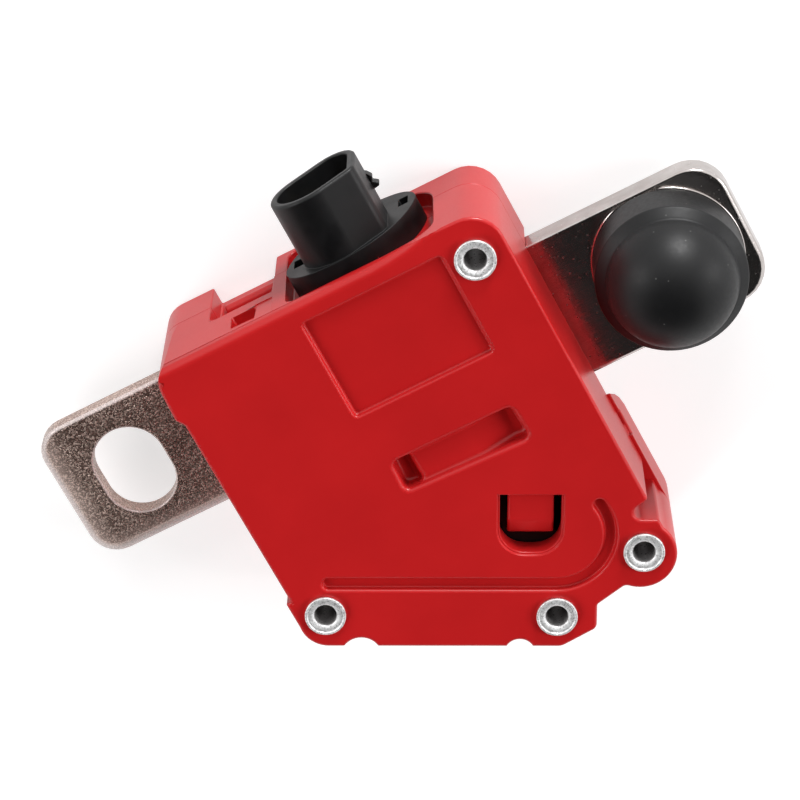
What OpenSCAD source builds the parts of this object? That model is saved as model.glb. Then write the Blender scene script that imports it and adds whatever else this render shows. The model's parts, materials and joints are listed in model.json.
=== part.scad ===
// Positive battery terminal with a one-shot disconnect: two riveted covers hold a slotted
// bar, a stud bar and, between them, a contact bridge that an igniter can drive out.
// +X runs along the bars towards the stud, +Y towards the igniter socket and +Z out of the
// front cover. The origin is on the back face, under the socket's axis.

/* [Housing] */
// Depth of the closed housing, from back face to front face
body_depth = 20; // [19.6:0.1:21]
// Depth of the back cover, from back face to parting plane
back_depth = 7.2; // [7:0.1:7.6]
// Place of the top wall, which the igniter socket stands on
top_y = 18.5; // [18.4:0.1:19]
// Place of the right wall, which the stud bar leaves through
right_x = 19.4; // [19.2:0.1:20]
// Place of the left wall, which the slotted bar leaves through
left_x = -28.45; // [-29:0.05:-28]
// Slant of the lower edge, the latch window and the long groove
slant = 27.7; // [27:0.1:28.5]
// Rounding along the top front edge
top_round = 1.3; // [1:0.1:1.4]

/* [Bars] */
// Width of both bars
bar_w = 20; // [19.6:0.1:20.4]
// Distance of each bar's centre line from the origin, one up and one down
bar_shift = 3; // [2.8:0.1:3.2]
// Thickness of the slotted bar
slot_bar_t = 3; // [2.8:0.1:3.2]
// Thickness of the stud bar
stud_bar_t = 4; // [3.8:0.1:4.2]
// Outer end of the slotted bar
slot_bar_end = -51.1; // [-52:0.1:-50.5]
// Outer end of the stud bar
stud_bar_end = 45.9; // [45.4:0.1:47]
// Middle of the slot
slot_x = -40.8; // [-41.2:0.1:-40.4]
// Width of the slot
slot_w = 9.6; // [9:0.1:10]
// Length of the slot, end to end
slot_len = 12.4; // [11:0.1:13]

/* [Stud and cap] */
// Place of the stud along the bar
stud_x = 34.9; // [34.6:0.1:35.2]
// Diameter of the stud's thread
stud_d = 8; // [7.8:0.1:8]
// Height of the stud above the bar
stud_h = 12.8; // [12:0.1:13]
// Diameter of the cap's skirt
cap_d = 19.7; // [19.5:0.1:19.9]
// Height of the cap's skirt
skirt_h = 6.8; // [6.6:0.1:7]
// Radius of the cap's dome
dome_r = 8.2; // [8.1:0.1:8.4]
// Height of the dome's centre
dome_z = 7.5; // [7.4:0.1:7.7]

/* [Igniter socket] */
// Length of the oval flange
flange_len = 20; // [19.6:0.1:20.4]
// Width of the oval flange
flange_w = 14.7; // [14.4:0.1:15]
// Height of the flange above the top wall
flange_rise = 1.3; // [1.1:0.1:1.5]
// Height of the collar's rim above the flange
collar_h = 9.3; // [9:0.1:10]
// Width of the collar across its two long sides
collar_w = 10.2; // [9.8:0.1:10.3]
// Wall of the collar
collar_wall = 1; // [0.9:0.05:1.1]

/* [Striking gear] */
// Bore of the piston's sleeve
sleeve_bore = 8.7; // [8.6:0.1:8.8]
// Travel of the piston when the igniter fires
stroke = 9.5; // [9:0.1:9.6]
// Diameter of the contact bridge
bridge_d = 5.9; // [5.8:0.02:5.92]

/* [Rivets] */
// Outer diameter of a rivet's rolled rim
rim_d = 5.4; // [5:0.1:5.6]
// Inner diameter of a rivet's tube
rivet_bore = 2.9; // [2.6:0.1:3.1]
// Height of the rolled rim above the front face
rim_h = 0.65; // [0.5:0.05:0.8]

/* [Hidden] */
$fn = 64;

red = "firebrick";
black = [0.1, 0.1, 0.1];
tin = "silver";
copper = "sandybrown";

fit = 0.05;                           // gap between pieces that are fitted together
past = 1;                             // how far a cutting shape reaches past the face it cuts
front_depth = body_depth - back_depth;
slot_bar_z = back_depth - slot_bar_t;
stud_bar_z = back_depth - stud_bar_t;
slot_bar_y = bar_shift;
stud_bar_y = -bar_shift;
end_round = 4;                        // corners of the slotted bar's outer end
stud_end_round = 5;                   // corners of the stud bar's outer end

// The jog in the left wall, and the ledge that starts the lower left lobe
jog_x = left_x - 0.75;
jog_y = [9.9, 11];
ledge_x = left_x - 0.7;
ledge_y = -18.5;

// Places in the slanted frame, whose u runs along the lower edge and v square to it
function slanted(u, v) = [u * cos(slant) + v * sin(slant), v * cos(slant) - u * sin(slant)];
lower_v = -36;
rivet_v = -31.4;
left_lobe = [-11.65, -32];
left_lobe_r = 4;
right_lobe = [28.95, -22.65];
right_lobe_r = 4.75;
rivet_places = [[14.9, 12.9], slanted(-12.05, -31.3), slanted(18.2, rivet_v), slanted(29.35, -22.1)];
ear_r = 4.4;                          // corner around the upper rivet
corner_r = 3.5;                       // corner at the top left
draft = 1.7;                          // lean of the front cover's top wall, in degrees

// Striking gear, along Y on the socket's axis
axis_z = 9.8;
tab_gap = 6;                          // between the two bars' upright tabs
tab_top = 13.2;
tab_y = [-12.3, -4.3];
head_y = [6.3, 10.3];                 // piston head at rest
rod_d = 4.6;
sleeve_od = 12;
sleeve_y = [-3.6, 11.6];
flange_t = 3.4;
flange_top = top_y + flange_rise;
flange_at = [0.7, 0.1];
flange_turn = 31;
pocket_floor = flange_top - flange_t;
spigot_d = 11.4;
spigot_y = 12;
igniter_d = 7;
igniter_y = [10.8, 17.6];
pin_d = 1;
pin_gap = 3.4;
pin_len = 8;
collar_floor = 1.2;
collar_at = [0.2, -1.8];
collar_turn = 29;
collar_flat = 5.85;                   // from the collar's centre to its flat side
guide_y = [-30.4, -12.6];
chute_d = 6.6;
pad_t = 2;

// Rounds each corner of a polygon given as [x, y, radius]
function unit(v) = v / norm(v);
function turned(a) = a > 180 ? a - 360 : a < -180 ? a + 360 : a;
function corner(a, b, c, r) =
    let (p = unit(a - b), q = unit(c - b), half = acos(p * q) / 2, hub = b + unit(p + q) * r / sin(half),
         s = b + p * r / tan(half) - hub, e = b + q * r / tan(half) - hub,
         from = atan2(s.y, s.x), sweep = turned(atan2(e.y, e.x) - from), steps = r < 1 ? 3 : 7)
    [for (i = [0:steps]) hub + r * [cos(from + sweep * i / steps), sin(from + sweep * i / steps)]];
function at(list, i) = let (k = (i + len(list)) % len(list)) [list[k].x, list[k].y];
function rounded(list) =
    [for (i = [0:len(list) - 1]) each list[i].z == 0 ? [at(list, i)]
        : corner(at(list, i - 1), at(list, i), at(list, i + 1), list[i].z)];
function with_radius(p, r) = [p.x, p.y, r];

// Turns a profile drawn in Y and Z into a bar along X
module along_x(x0, x1) {
    translate([x0, 0, 0]) rotate([90, 0, 90]) linear_extrude(x1 - x0) children();
}

// Stands a turned or extruded shape on the socket's axis, its own +Z becoming +Y
module on_axis(y) {
    translate([0, y, axis_z]) rotate([-90, 0, 0]) children();
}

module tube(y, d, bore) {
    on_axis(y[0]) difference() {
        cylinder(d = d, h = y[1] - y[0]);
        translate([0, 0, -past]) cylinder(d = bore, h = y[1] - y[0] + 2 * past);
    }
}

// Outline of the housing, seen from the front
module housing_outline() {
    difference() {
        union() {
            polygon(rounded([
                [jog_x + 0.4, top_y, corner_r], [right_x, top_y, ear_r], [right_x, -33.6, 0],
                with_radius(slanted(28.95, -27.4), 0), with_radius(slanted(27, -27.1), 0.8),
                with_radius(slanted(23.45, -29.9), 0.6), with_radius(slanted(23.45, -33.3), 1),
                with_radius(slanted(18.9, -36), 2), with_radius(slanted(left_lobe[0], lower_v), 0),
                [left_x, -20, 0], [left_x, jog_y[0], 0.6], [jog_x, jog_y[1], 0.6]]));
            translate(slanted(left_lobe[0], left_lobe[1])) circle(left_lobe_r);
            translate([ledge_x, ledge_y - 4.4]) square([3, 4.4]);
            translate(slanted(right_lobe[0], right_lobe[1])) circle(right_lobe_r);
        }
        rotate(-slant) {
            translate([-7.4, lower_v - 1.42]) circle(2.62);
            translate([13.4, lower_v - 0.95]) circle(1.95);
        }
    }
}

// Notch in the front cover's right wall, above the lower right rivet
module wall_notch() {
    rotate(-slant) {
        translate([28.9, -16.65]) circle(1);
        polygon([[28.9, -17.65], [36, -17.65], [36, -9.6], [28.2, -15.95]]);
    }
}

// Pocket in the top wall that the socket's oval flange sinks into
module socket_pocket() {
    pocket_x = [-9.45, 11.75];
    front = axis_z - 18.6;
    rear = axis_z - 1.3;
    on_axis(pocket_floor) linear_extrude(flange_t) polygon(rounded([
        [pocket_x[0], front, 1.5], [pocket_x[1], front, 3],
        [pocket_x[1], rear, 5.5], [pocket_x[0], rear, 1.5]]));
    on_axis(spigot_y - 5) cylinder(d = spigot_d + 2 * fit, h = 10);
}

// Finger ramp in the top wall, with its floor, and the small pocket before it
ramp_x = [-20.65, -11.3];
ramp_floor = top_y - 2.4;
module ramp() {
    along_x(ramp_x[0], ramp_x[1]) polygon([
        [top_y + past, 12.9], [top_y, 12.5], [ramp_floor, 6.2], [ramp_floor, -past], [top_y + past, -past]]);
    translate([-17.3, top_y - 2, 14.4]) cube([3.4, 2 + past, 3.4]);
    translate([-13.9, top_y - 0.35, 13.8]) cube([2.5, 0.35 + past, 4.6]);
}

// Round bead across the ramp's floor, a hook for the cover next to it
module ramp_bead() {
    difference() {
        translate([ramp_x[0] + 1, ramp_floor, 4.3]) rotate([0, 90, 0])
            cylinder(r = 0.8, h = ramp_x[1] - ramp_x[0] - 1);
        translate([ramp_x[0], ramp_floor - 1.6, 2]) cube([12, 1.5, 4]);
    }
}

// Rounding along the top front edge, which runs out towards the upper rivet
module top_edge_cut() {
    run_out = 36;
    end_x = 2;
    edge = top_y - front_depth * tan(draft) - top_round;
    module profile() {
        difference() {
            square(top_round + past);
            circle(top_round);
        }
    }
    translate([0, edge, body_depth - top_round]) along_x(-60, end_x) profile();
    translate([end_x, edge + run_out, body_depth - top_round]) rotate([0, 0, -90])
        rotate_extrude(angle = 25) translate([run_out, 0]) mirror([1, 0]) profile();
}

// Lean of the front cover's top wall, which dies out behind the socket, towards the upper rivet
module top_draft() {
    blend_x = 4;
    for (cut = [[blend_x - 50, 50, 0], [blend_x, 12, 2.9]])
        translate([cut[0], top_y, back_depth]) rotate([draft, 0, cut[2]])
            translate([0, 0, -past]) cube([cut[1], 3, front_depth + 3]);
}

// Shallow recess for a label
module label_recess() {
    label_depth = 0.8;
    low = [-8.6, 0.75];
    high = [11.3, 15.3];
    r = 0.6;
    translate([0, 0, body_depth - label_depth]) linear_extrude(label_depth + past)
        polygon(rounded([[low.x, low.y, r], [high.x, low.y, r], [high.x, high.y, r], [low.x, high.y, r]]));
}

// Hand-hold, deep at both ends with a shallow plateau between them
module hand_recess() {
    deep = -2.6;
    plateau = -1;
    r = 0.8;
    intersection() {
        translate([0, 0, body_depth + deep]) linear_extrude(past - deep)
            polygon(rounded([[-7.65, -11.35, r], [9.9, -12, r], [9.7, -7.1, r], [-7.4, -7, r]]));
        translate([0, 0, body_depth]) rotate([90, 0, 0]) linear_extrude(20) polygon([
            [-9, past], [-9, deep], [-5.4, deep], [-5, plateau],
            [3.3, plateau], [8.2, deep], [12, deep], [12, past]]);
    }
}

// Long groove beside the lower edge, with its quarter turn
groove_w = 1.6;
groove_depth = 0.9;
groove_v = -26.95;
turn_u = 17.95;
turn_r = 7.05;
module face_groove() {
    translate([0, 0, body_depth - groove_depth]) rotate([0, 0, -slant]) {
        translate([-11.6, groove_v - groove_w / 2, 0]) cube([turn_u + 11.6, groove_w, groove_depth + past]);
        translate([-11.6, groove_v, 0]) cylinder(d = groove_w, h = groove_depth + past);
        translate([turn_u, groove_v + turn_r, 0]) {
            rotate([0, 0, -90]) rotate_extrude(angle = 128)
                translate([turn_r - groove_w / 2, 0]) square([groove_w, groove_depth + past]);
            rotate([0, 0, 38]) translate([turn_r, 0, 0]) cylinder(d = groove_w, h = groove_depth + past);
        }
    }
}

// Latch window and the sprung tongue that is moulded into it
window_u = [10.6, 18.6];
window_v = [-22.4, -14.1];
window_round = 3.3;
tongue_w = 6;
tongue_len = 6.4;
tongue_t = 1.4;
tongue_drop = 0.9;
module window(grow, depth, z) {
    translate([0, 0, z]) rotate([0, 0, -slant]) linear_extrude(depth) polygon(rounded([
        [window_u[0] - grow, window_v[0] - grow, window_round + grow],
        [window_u[1] + grow, window_v[0] - grow, window_round + grow],
        [window_u[1] + grow, window_v[1], 0], [window_u[0] - grow, window_v[1], 0]]));
}
module tongue() {
    middle = (window_u[0] + window_u[1]) / 2;
    rotate([0, 0, -slant]) translate([middle - tongue_w / 2, window_v[1], body_depth - tongue_drop])
        rotate([90, 0, 90]) linear_extrude(tongue_w) polygon(rounded([
            [1, 0, 0], [1, -tongue_t, 0],
            [-tongue_len + 2, -tongue_t - 0.3, 0], [-tongue_len, -tongue_t - 1.3, 0],
            [-tongue_len, -1.4, 1], [-tongue_len + 2.4, 0, 1.6]]));
}

// Room inside the covers
ceiling = body_depth - 3.7;
module inner_room() {
    difference() {
        polygon([[left_x + 2.2, 12.2], [right_x - 2.2, 12.2], [right_x - 2.2, -22], slanted(22.5, -18.6),
                 slanted(18, -24.9), slanted(-18.6, -24.9)]);
        translate(rivet_places[0]) circle(ear_r);
    }
}

// Block below the tabs that the chute is bored in, or the room for it in a cover
module guide_box(grow, z0, z1) {
    half = 6.2 + grow;
    translate([-half, guide_y[0] - grow, z0]) cube([2 * half, guide_y[1] - guide_y[0] + 2 * grow, z1 - z0]);
}

// Half round saddle that clamps the piston's sleeve
module saddle(z0, z1) {
    difference() {
        translate([-8.4, 2, z0]) cube([16.8, 7, z1 - z0]);
        tube([0, 11], sleeve_od + 2 * fit, 0);
    }
}

module rivet_holes() {
    for (p = rivet_places) translate([p.x, p.y, -past]) cylinder(d = 4.1, h = body_depth + 2 * past);
}

module front_cover() {
    color(red) {
        difference() {
            translate([0, 0, back_depth]) linear_extrude(front_depth) difference() {
                housing_outline();
                wall_notch();
            }
            translate([0, 0, back_depth - past]) linear_extrude(ceiling - back_depth + past) inner_room();
            guide_box(fit, back_depth - past, ceiling);
            top_edge_cut();
            top_draft();
            label_recess();
            hand_recess();
            face_groove();
            window(0, 6, body_depth - 5);
            window(0.35, 1, body_depth - 0.3);
            socket_pocket();
            ramp();
            rivet_holes();
        }
        tongue();
        saddle(back_depth, ceiling + fit);
    }
}

recess_x = 17.2;                      // right side of the back cover beside the stud bar
seat = 1.2;                           // depth of the rivets' seats in the back face
shoulder_foot = -21.5;
module back_outline() {
    difference() {
        housing_outline();
        translate([recess_x, shoulder_foot]) square([6, bar_w / 2 - bar_shift - shoulder_foot]);
    }
}

// Shoulder of the back cover above the lower right rivet, sloping up to the parting plane, with its slit
module shoulder() {
    shoulder_x = 19.86;
    slit_y = [-23, -19.3];
    difference() {
        along_x(recess_x - 5, shoulder_x) polygon([
            [-33.5, 0], [shoulder_foot, 0], [-19.7, 1.2], [-18.3, 3.2],
            [-16.3, back_depth], [-33.5, back_depth]]);
        translate([shoulder_x - 1.2, slit_y[0], back_depth - 0.7]) cube([2, slit_y[1] - slit_y[0], 2]);
    }
}

module back_cover() {
    color(red) {
        difference() {
            union() {
                linear_extrude(back_depth) back_outline();
                shoulder();
            }
            translate([0, 0, slot_bar_z]) linear_extrude(slot_bar_t + past) slot_bar_outline(fit);
            translate([0, 0, stud_bar_z]) linear_extrude(stud_bar_t + past) stud_bar_outline(fit);
            translate([-8.6, -31, 2]) cube([17.2, 43.2, back_depth]);
            socket_pocket();
            ramp();
            rivet_holes();
            for (p = rivet_places) translate([p.x, p.y, -past]) cylinder(d = rim_d + 0.8, h = seat + past);
        }
        saddle(2 - fit, stud_bar_z - 0.2);
        ramp_bead();
    }
}

// Bar outlines, with the inner ends that reach the striking gear
inner_x = 7.4;
module slot_bar_outline(grow) {
    low = slot_bar_y - bar_w / 2 - grow;
    high = slot_bar_y + bar_w / 2 + grow;
    polygon(rounded([
        [slot_bar_end, low, end_round], [-22 - grow, low, 0],
        [-22 - grow, tab_y[0] - grow, 0], [-tab_gap / 2, tab_y[0] - grow, 0],
        [-tab_gap / 2, tab_y[1] + grow, 0], [-inner_x + grow, tab_y[1] + grow, 0],
        [-inner_x + grow, high - 1.4, 1.4],
        [-inner_x - 4, high, 1.4], [slot_bar_end, high, end_round]]));
}
module stud_bar_outline(grow) {
    low = stud_bar_y - bar_w / 2 - grow;
    high = stud_bar_y + bar_w / 2 + grow;
    polygon(rounded([
        [stud_bar_end, low, stud_end_round], [stud_bar_end, high, stud_end_round],
        [inner_x + 2, high, 1.4], [inner_x - grow, high - 2, 1.4],
        [inner_x - grow, tab_y[1] + grow, 0], [tab_gap / 2, tab_y[1] + grow, 0],
        [tab_gap / 2, tab_y[0] - grow, 0],
        [inner_x + 1 - grow, tab_y[0] - grow, 0], [inner_x + 1 - grow, low, 0]]));
}

// Upright tab on a bar's inner end, gripping one side of the bridge
module tab(x, t, z) {
    translate([x, tab_y[0], z]) cube([t, tab_y[1] - tab_y[0], tab_top - z]);
}

module slotted_busbar() {
    offset_y = (slot_len - slot_w) / 2;
    color(tin) {
        difference() {
            translate([0, 0, slot_bar_z]) linear_extrude(slot_bar_t) slot_bar_outline(0);
            for (s = [-1, 1]) translate([slot_x, slot_bar_y + s * offset_y, slot_bar_z - past])
                cylinder(d = slot_w, h = slot_bar_t + 2 * past);
            translate([slot_x - slot_w / 2, slot_bar_y - offset_y, slot_bar_z - past])
                cube([slot_w, 2 * offset_y, slot_bar_t + 2 * past]);
        }
        tab(-tab_gap / 2 - slot_bar_t, slot_bar_t, slot_bar_z);
    }
}

// Round seat that is coined into the bar under the cap
coin_d = cap_d + 0.35;
coin_h = 0.6;
head_d = 11;
head_h = 2;
module stud_busbar() {
    color(tin) {
        difference() {
            union() {
                translate([0, 0, stud_bar_z]) linear_extrude(stud_bar_t) stud_bar_outline(0);
                intersection() {
                    translate([stud_x, stud_bar_y, stud_bar_z]) cylinder(d = coin_d, h = stud_bar_t + coin_h);
                    translate([0, stud_bar_y - bar_w / 2 + 0.6, 0])
                        cube([stud_bar_end - 0.6, bar_w - 1.2, body_depth]);
                }
            }
            translate([stud_x, stud_bar_y, stud_bar_z - past]) {
                cylinder(d = stud_d + 2 * fit, h = stud_bar_t + 3 * past);
                cylinder(d = head_d + 2 * fit, h = head_h + past);
            }
        }
        tab(tab_gap / 2, stud_bar_t, stud_bar_z);
    }
}

// Pressed-in stud: head below the bar, thread above it
module terminal_stud() {
    tip = 0.8;
    top = stud_bar_t + stud_h;
    color(tin) translate([stud_x, stud_bar_y, stud_bar_z]) rotate_extrude()
        polygon([
            [0, 0], [head_d / 2, 0], [head_d / 2, head_h], [stud_d / 2, head_h],
            [stud_d / 2, top - tip], [stud_d / 2 - tip, top], [0, top]]);
}

// Rubber cap: outer skirt and dome, and an inner sleeve that grips the thread
module stud_cap() {
    skirt_r = cap_d / 2;
    skirt_wall = 1.7;
    grip_bore = stud_d + 0.2;
    grip_d = 11.4;
    groove_h = 7.6;
    bore_h = stud_h - coin_h + 0.3;
    dome_foot = 88;
    neck = [skirt_r - 0.95, skirt_h + 0.4];
    dome = [for (i = [0:10]) let (a = dome_foot * (1 - i / 10)) [dome_r * sin(a), dome_z + dome_r * cos(a)]];
    color(black) translate([stud_x, stud_bar_y, back_depth + coin_h + fit]) rotate_extrude() polygon(concat(
        [[grip_bore / 2, 0.6], [grip_d / 2, 0.6], [grip_d / 2, groove_h],
         [skirt_r - skirt_wall - 0.4, groove_h - 1], [skirt_r - skirt_wall, 0],
         [skirt_r - 0.4, 0], [skirt_r, 0.4], [skirt_r, skirt_h - 0.3], [skirt_r - 0.2, skirt_h + 0.1], neck],
        dome,
        [[0, bore_h + 1], [grip_bore / 2, bore_h - 0.2]]));
}

// Collar of the socket, seen along its axis: one end a half round, the other cut off flat along Z
module collar_shape(inset) {
    half = collar_w / 2 - inset;
    hub = -1.2;
    function on_flat(q) = (collar_flat - inset + q * sin(collar_turn)) / cos(collar_turn);
    translate(collar_at) rotate(collar_turn) {
        translate([hub, 0]) circle(half);
        polygon(rounded([
            [hub, -half, 0], [on_flat(-half), -half, 1.5 - inset],
            [on_flat(half), half, 3.5 - inset], [hub, half, 0]]));
    }
}

// Oval of four arcs: two ends of radius r, joined by two flatter arcs
module oval(len, w, r) {
    reach = len / 2 - r;
    big = (reach ^ 2 + w ^ 2 / 4 - r ^ 2) / (w - 2 * r);
    meet_x = reach * big / (big - r);
    for (s = [-1, 1]) translate([s * reach, 0]) circle(r);
    intersection() {
        translate([0, w / 2 - big]) circle(big, $fn = 128);
        translate([0, big - w / 2]) circle(big, $fn = 128);
        square([2 * meet_x, w], center = true);
    }
}

module flange_shape() {
    translate(flange_at) rotate(flange_turn) oval(flange_len, flange_w, 5);
}

// Hook on the collar's flat side that the plug's latch snaps over
module nub(mouth) {
    nub_z = 7.2;
    translate([collar_at.x + collar_flat, mouth, nub_z]) linear_extrude(1.4)
        polygon([
            [-0.4, -3.1], [0.05, -3.3], [0.55, -4], [0.25, -4.6], [0.95, -5.1], [0.8, -5.5], [0.25, -5.6], [-0.4, -5.6]]);
}

module igniter_socket() {
    pins = pin_gap / 2;
    mouth = flange_top + collar_h;
    slot = [1.4, 2.6, 2.2];
    color(black) difference() {
        union() {
            on_axis(pocket_floor + fit) linear_extrude(flange_t - fit) flange_shape();
            on_axis(flange_top - fit) linear_extrude(mouth - flange_top + fit) collar_shape(0);
            on_axis(spigot_y) cylinder(d = spigot_d, h = pocket_floor - spigot_y + 1);
            nub(mouth);
        }
        on_axis(flange_top + collar_floor) linear_extrude(collar_h + past) collar_shape(collar_wall);
        on_axis(spigot_y - past) cylinder(d = igniter_d + 2 * fit, h = igniter_y[1] - spigot_y + past + fit);
        for (s = [-1, 1]) on_axis(igniter_y[1] - past) translate([s * pins, 0, 0])
            cylinder(d = pin_d + 2 * fit, h = 5, $fn = 24);
        on_axis(spigot_y + 1.2) difference() {
            cylinder(d = spigot_d + 1, h = 1.3);
            translate([0, 0, -past]) cylinder(d = spigot_d - 2, h = 4);
        }
        for (at = [[8.2, 2.96], [-6.8, -1.1]]) on_axis(flange_top - slot.z)
            translate([at.x - slot.x / 2, at.y - slot.y / 2, 0]) cube(slot + [0, 0, past]);
    }
}

module ring(y, r, section) {
    on_axis(y) rotate_extrude() translate([r, 0]) circle(d = section, $fn = 24);
}

module socket_seal() {
    color("dimgray") ring(spigot_y + 1.85, spigot_d / 2 - 0.49, 0.96);
}

module contact_pin(side) {
    color(copper) on_axis(igniter_y[1] + fit) translate([side * pin_gap / 2, 0, 0]) {
        cylinder(d = pin_d, h = pin_len, $fn = 24);
        translate([0, 0, pin_len]) cylinder(d1 = pin_d, d2 = 0.4, h = 0.5, $fn = 24);
    }
}

module contact_pin_left() { contact_pin(-1); }
module contact_pin_right() { contact_pin(1); }

// Sealed capsule: crimped cup with a thicker header
module igniter() {
    h = igniter_y[1] - igniter_y[0];
    color("lightgray") on_axis(igniter_y[0]) rotate_extrude()
        polygon([[0, 0], [2.6, 0], [3, 0.4], [3, h - 2.4], [igniter_d / 2, h - 2], [igniter_d / 2, h], [0, h]]);
}

module piston_sleeve() {
    color("lightgray") tube(sleeve_y, sleeve_od, sleeve_bore);
}

// Stepped piston: sealed head above, striking rod below
module piston() {
    head_r = sleeve_bore / 2 - fit;
    rod_len = head_y[0] - tab_y[1] - fit;
    color("gainsboro") on_axis(head_y[0] - rod_len) rotate_extrude() polygon([
        [0, 0], [rod_d / 2 - 0.3, 0], [rod_d / 2, 0.3], [rod_d / 2, rod_len], [head_r, rod_len],
        [head_r, rod_len + 1.3], [head_r - 0.9, rod_len + 1.3], [head_r - 0.9, rod_len + 2.5],
        [head_r, rod_len + 2.5], [head_r, rod_len + 4], [0, rod_len + 4]]);
}

module piston_seal() {
    color(black) ring(head_y[0] + 1.9, sleeve_bore / 2 - 0.5, 0.86);
}

// Round contact bridge between the two tabs, bevelled at its lower end
module contact_bridge() {
    len = tab_y[1] - tab_y[0];
    color(copper) on_axis(tab_y[0]) {
        cylinder(d1 = bridge_d - 1, d2 = bridge_d, h = 0.5);
        translate([0, 0, 0.5]) cylinder(d = bridge_d, h = len - 0.5);
    }
}

// Guide below the tabs: the chute that catches the struck bridge
module guide_block() {
    color(black) difference() {
        guide_box(0, 2 + fit, ceiling - fit);
        on_axis(guide_y[0] + 1.5) cylinder(d = chute_d, h = guide_y[1] - guide_y[0]);
    }
}

module buffer_pad() {
    color("dimgray") on_axis(guide_y[0] + 1.5 + fit) cylinder(d = chute_d - 2 * fit, h = pad_t);
}

// Tubular rivet: rolled rims outside both covers, a tube between them
module rivet(p) {
    tube_r = 2;
    bore_r = rivet_bore / 2;
    rim_r = rim_d / 2;
    tail_z = seat - rim_h;
    roll = rim_h - 0.05;
    function rim(z) = [for (a = [-90:22.5:90]) [rim_r - roll / 2, z + roll / 2] + roll / 2 * [cos(a), sin(a)]];
    color("silver") translate([p.x, p.y, 0]) rotate_extrude() polygon(concat(
        [[bore_r, tail_z + 0.4], [bore_r + 0.4, tail_z]],
        rim(tail_z),
        [[tube_r, seat], [tube_r, body_depth]],
        rim(body_depth + fit),
        [[bore_r + 0.9, body_depth + rim_h - 0.1], [bore_r + 0.25, body_depth + 0.1], [bore_r, body_depth - 0.6]]));
}

module rivet_upper_right() { rivet(rivet_places[0]); }
module rivet_lower_left() { rivet(rivet_places[1]); }
module rivet_lower_middle() { rivet(rivet_places[2]); }
module rivet_lower_right() { rivet(rivet_places[3]); }

front_cover();
back_cover();
slotted_busbar();
stud_busbar();
terminal_stud();
stud_cap();
igniter_socket();
socket_seal();
contact_pin_left();
contact_pin_right();
igniter();
piston_sleeve();
piston();
piston_seal();
contact_bridge();
guide_block();
buffer_pad();
rivet_upper_right();
rivet_lower_left();
rivet_lower_middle();
rivet_lower_right();
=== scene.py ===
# %% [markdown]
# # A positive battery terminal, dressed for its photograph
# The part lies on its flat back. Two riveted red covers hold a slotted bar on the left, a stud bar with a
# rubber cap on the right and a black igniter socket at the top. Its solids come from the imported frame, at
# their real size and place. This script adds what a camera sees: rolled edges, plating, moulded plastic,
# rubber, a thread, light and a viewpoint.

# %% Load the frame and note its size
import json
from math import cos, pi, radians, sin

import bmesh
import bpy
from mathutils import Matrix, Vector
from mathutils.geometry import intersect_point_line
from mathutils.kdtree import KDTree


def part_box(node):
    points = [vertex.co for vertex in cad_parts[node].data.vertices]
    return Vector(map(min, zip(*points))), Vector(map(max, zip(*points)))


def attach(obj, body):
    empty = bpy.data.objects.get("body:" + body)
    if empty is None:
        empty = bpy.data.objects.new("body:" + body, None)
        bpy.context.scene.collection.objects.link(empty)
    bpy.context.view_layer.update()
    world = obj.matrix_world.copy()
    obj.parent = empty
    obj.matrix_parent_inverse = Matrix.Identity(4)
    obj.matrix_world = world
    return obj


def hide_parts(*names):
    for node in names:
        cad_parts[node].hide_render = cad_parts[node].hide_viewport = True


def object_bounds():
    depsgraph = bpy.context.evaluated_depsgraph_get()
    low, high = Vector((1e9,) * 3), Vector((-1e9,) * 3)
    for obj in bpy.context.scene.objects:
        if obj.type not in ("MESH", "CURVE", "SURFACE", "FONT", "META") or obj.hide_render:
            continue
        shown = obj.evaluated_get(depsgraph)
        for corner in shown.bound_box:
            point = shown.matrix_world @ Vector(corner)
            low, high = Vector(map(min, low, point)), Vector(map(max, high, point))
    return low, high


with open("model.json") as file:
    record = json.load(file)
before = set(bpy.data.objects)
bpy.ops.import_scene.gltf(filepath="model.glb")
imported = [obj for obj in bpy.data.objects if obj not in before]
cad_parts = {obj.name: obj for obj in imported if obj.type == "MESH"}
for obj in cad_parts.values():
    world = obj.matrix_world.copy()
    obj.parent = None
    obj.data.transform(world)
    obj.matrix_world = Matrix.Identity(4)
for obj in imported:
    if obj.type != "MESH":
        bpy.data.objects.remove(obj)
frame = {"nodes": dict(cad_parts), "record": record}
nodes = frame["nodes"]
cad_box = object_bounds()
MM = 0.001
print("the part is", [round((b - a) / MM, 1) for a, b in zip(*cad_box)], "mm")

# %% [markdown]
# ## The camera
# The place and turn of the camera were solved from straight edges of the photograph that run along the
# part's own axes. It stands 46 cm off and looks down steeply, leaning over from the igniter socket's side,
# and it is turned so that the bars run down to the left. A long lens keeps the far edges almost parallel to
# the near ones.

# %% Camera
camera_place = Vector((80.8, 153.3, 430.2)) * MM
camera_turn = (-22.998, 0.315, -27.795)
camera_data = bpy.data.cameras.new("camera")
camera_data.lens = 157.5
camera_data.sensor_width = 36
camera_data.clip_start = 0.01
camera = bpy.data.objects.new("camera", camera_data)
camera.location = camera_place
camera.rotation_euler = [radians(angle) for angle in camera_turn]
bpy.context.scene.collection.objects.link(camera)
bpy.context.scene.camera = camera
print("camera stands", round(camera_place.length, 3), "m from the part")

# %% [markdown]
# ## A small language for materials
# A material is a graph of nodes. Written out link by link it is hard to read, so one small class holds an
# output of a node and lets Python's own signs add the Math node that joins it to another. Any other node
# comes from one method, which takes the node's settings and then what goes into its sockets. The patterns
# that come up again and again, such as noise, cells and a mix of two colours, have a short method each.

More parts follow.
